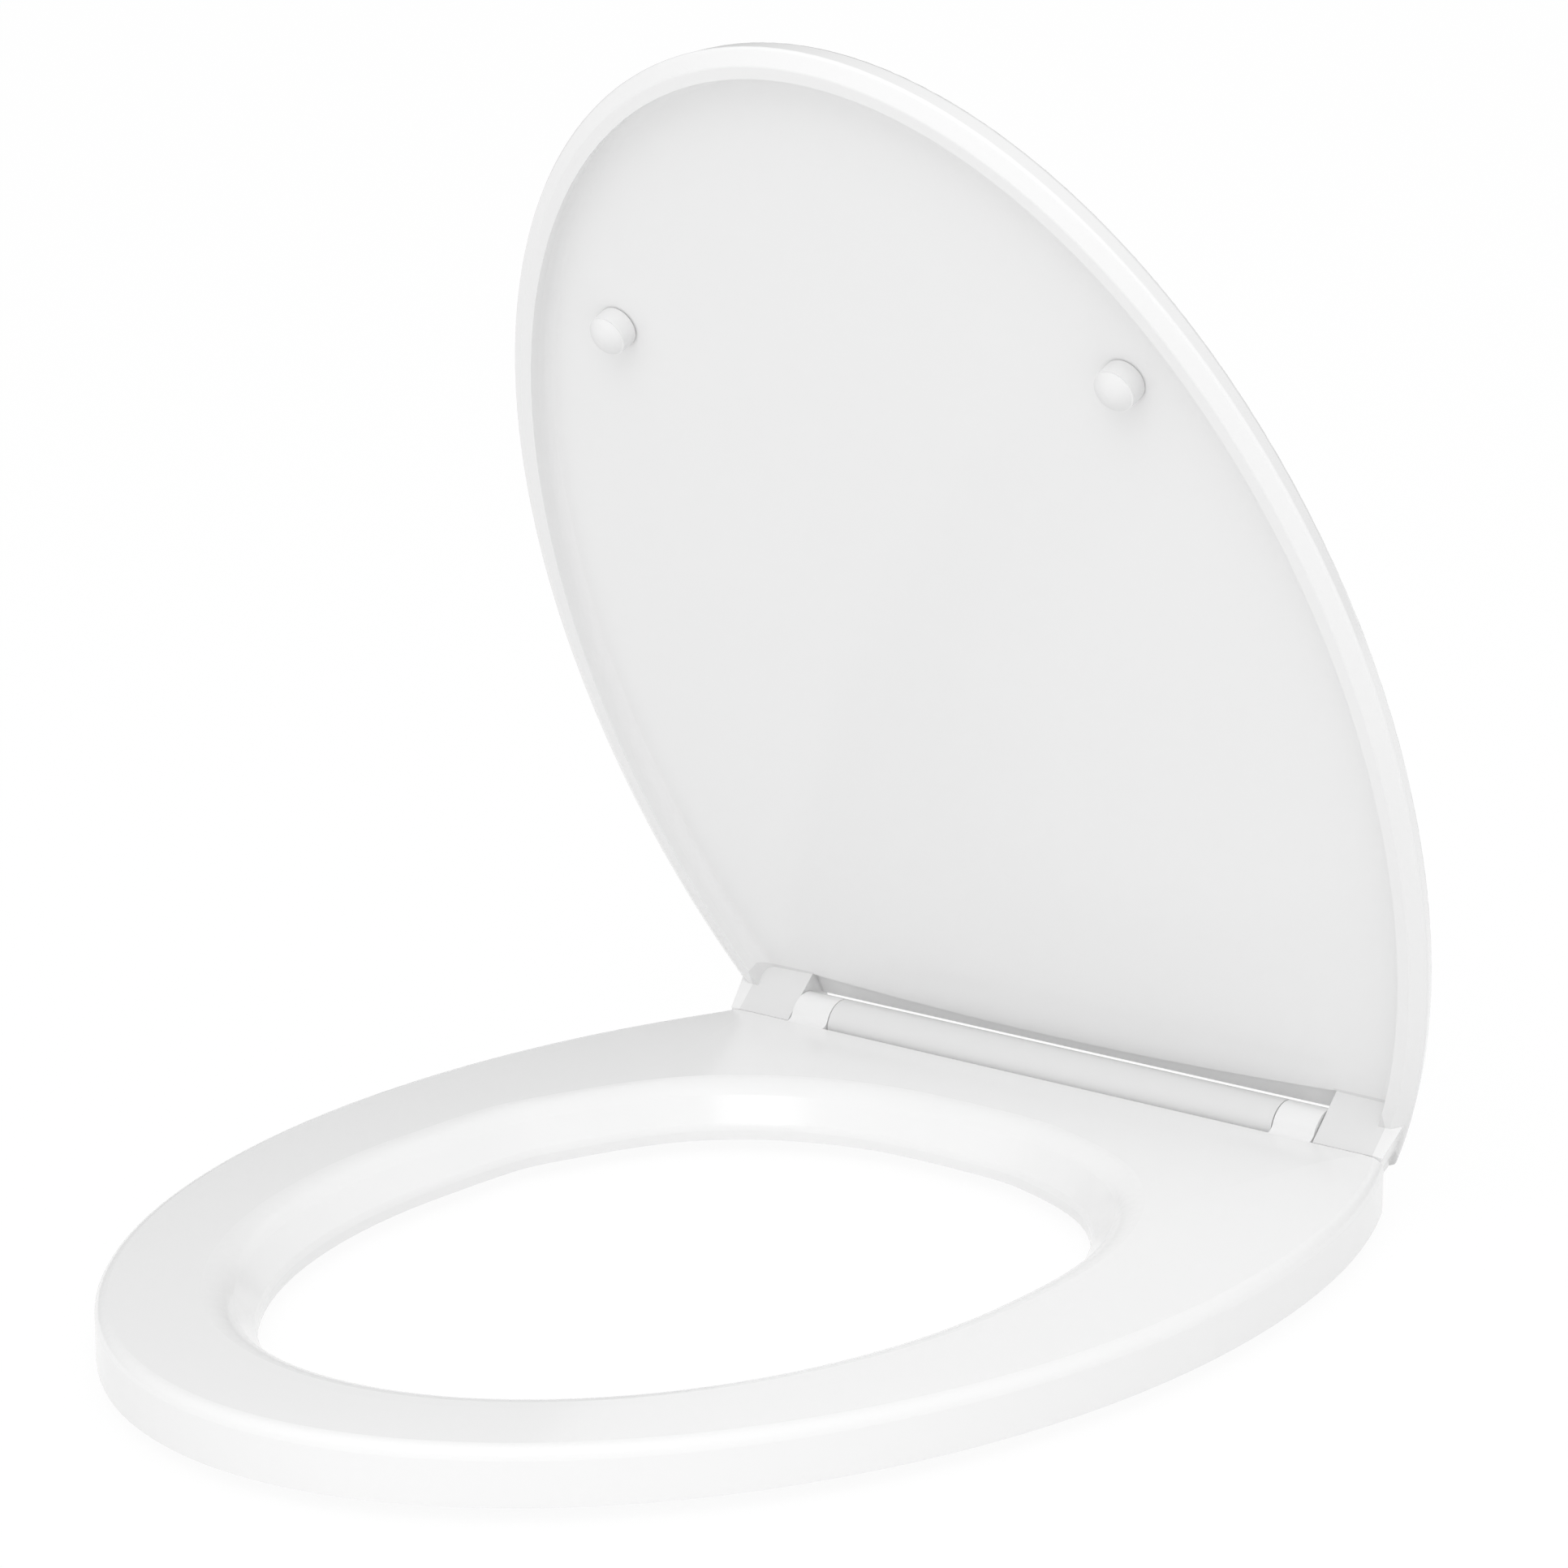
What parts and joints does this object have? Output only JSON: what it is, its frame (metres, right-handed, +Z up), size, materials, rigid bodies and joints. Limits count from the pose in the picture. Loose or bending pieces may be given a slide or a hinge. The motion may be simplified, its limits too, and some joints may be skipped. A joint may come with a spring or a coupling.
{
  "type": "toilet seat",
  "caption": "Oval white toilet seat with a hollow-backed lid part-way down on soft-closing dampers hidden in a round hinge bar.",
  "frame": {"origin": "midway between the two fixing holes, on the plane of the pan's top", "axes": "+Z up, square to the pan; +X along the hinge to the sitter's left; -Y towards the front of the seat"},
  "size_m": [0.3654, 0.4435, 0.4112],
  "materials": {
    "white_gloss": "glossy moulded white",
    "buffer_rubber": "smooth white rubber",
    "damper_shell": "plain moulded",
    "rotor_plastic": "plain moulded",
    "seal_rubber": "matt black rubber",
    "bush_plastic": "plain moulded",
    "foot_steel": "satin",
    "pad_rubber": "matt pale rubber"
  },
  "bodies": {
    "hinge_base": {"hinge_bar": "white_gloss", "seat_damper_body": "damper_shell", "seat_damper_cap": "damper_shell", "seat_damper_seal": "seal_rubber", "lid_damper_body": "damper_shell", "lid_damper_cap": "damper_shell", "lid_damper_seal": "seal_rubber", "mounting_foot_left": "foot_steel", "mounting_foot_right": "foot_steel", "foot_pad_left": "pad_rubber", "foot_pad_right": "pad_rubber"},
    "seat": {"seat_ring": "white_gloss", "seat_buffer_front_left": "buffer_rubber", "seat_buffer_front_right": "buffer_rubber", "seat_buffer_rear_left": "buffer_rubber", "seat_buffer_rear_right": "buffer_rubber", "seat_damper_rotor": "rotor_plastic", "seat_drive_bush": "bush_plastic", "seat_idle_bush": "bush_plastic"},
    "lid": {"lid": "white_gloss", "lid_buffer_left": "buffer_rubber", "lid_buffer_right": "buffer_rubber", "lid_damper_rotor": "rotor_plastic", "lid_drive_bush": "bush_plastic", "lid_idle_bush": "bush_plastic"}
  },
  "joints": [
    {"name": "seat_hinge", "type": "hinge", "parent": "hinge_base", "child": "seat", "pos_m": [0, 0.01, 0.0236], "axis": [-1, 0, 0], "range_deg": [0, 92]},
    {"name": "lid_hinge", "type": "hinge", "parent": "seat", "child": "lid", "pos_m": [0, 0.01, 0.0236], "axis": [-1, 0, 0], "range_deg": [-65, 38]}
  ]
}
